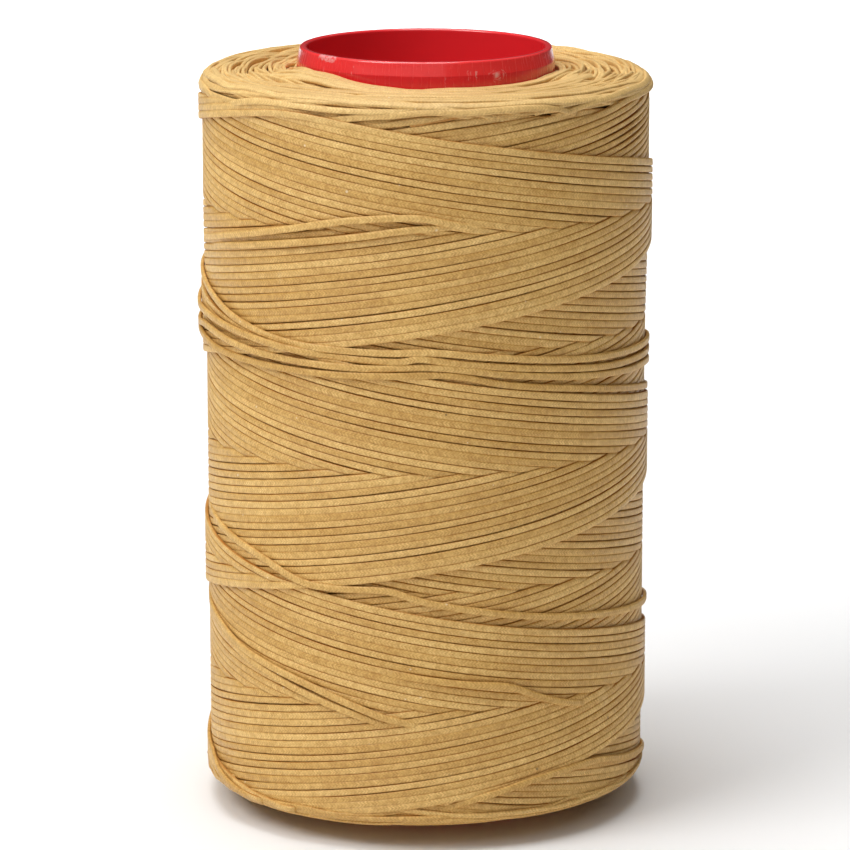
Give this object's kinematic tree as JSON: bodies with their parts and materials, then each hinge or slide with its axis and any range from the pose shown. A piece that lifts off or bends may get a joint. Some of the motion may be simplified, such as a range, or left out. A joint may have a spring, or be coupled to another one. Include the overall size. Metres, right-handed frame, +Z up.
{
  "type": "thread spool",
  "caption": "Spool of flat waxed thread for sewing leather, cross-wound on a moulded plastic core tube with a through bore.",
  "frame": {"origin": "centre of the core tube's lower end, on the surface the spool stands on", "axes": "+Z up along the core tube's axis, -Y towards the front, +X to the right seen from the front"},
  "size_m": [0.1014, 0.1014, 0.17],
  "materials": {
    "core_plastic": "glossy red moulded plastic with light scuffs",
    "waxed_thread": "satin waxed flat braid in golden tan"
  },
  "bodies": {
    "root": {"core_tube": "core_plastic", "thread_inner_layers": "waxed_thread", "thread_outer_layers": "waxed_thread", "thread_last_pass": "waxed_thread"}
  },
  "joints": []
}
